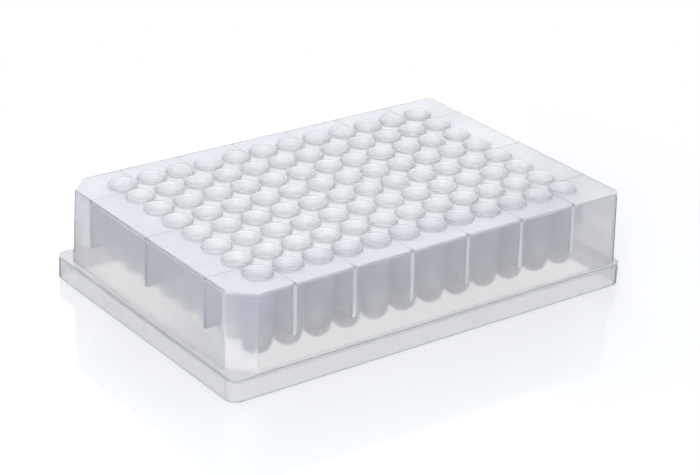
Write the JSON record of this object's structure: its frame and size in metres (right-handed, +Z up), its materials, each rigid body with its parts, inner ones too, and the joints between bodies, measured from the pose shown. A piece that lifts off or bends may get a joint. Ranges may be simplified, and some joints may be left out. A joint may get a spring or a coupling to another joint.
{
  "type": "well plate",
  "caption": "Flat laboratory plate with a grid of deep round-bottomed wells with raised rims, cut corners at one end and an open base with a flange all round.",
  "frame": {"origin": "centre of the footprint, on the surface that the plate stands on", "axes": "+X along the rows, from the end with the cut corners to the other end; +Y along the columns, towards the first row; +Z up, out of the wells"},
  "size_m": [0.1278, 0.0854, 0.0276],
  "materials": {
    "natural_plastic": "satin"
  },
  "bodies": {
    "root": {"plate": "natural_plastic"}
  },
  "joints": []
}
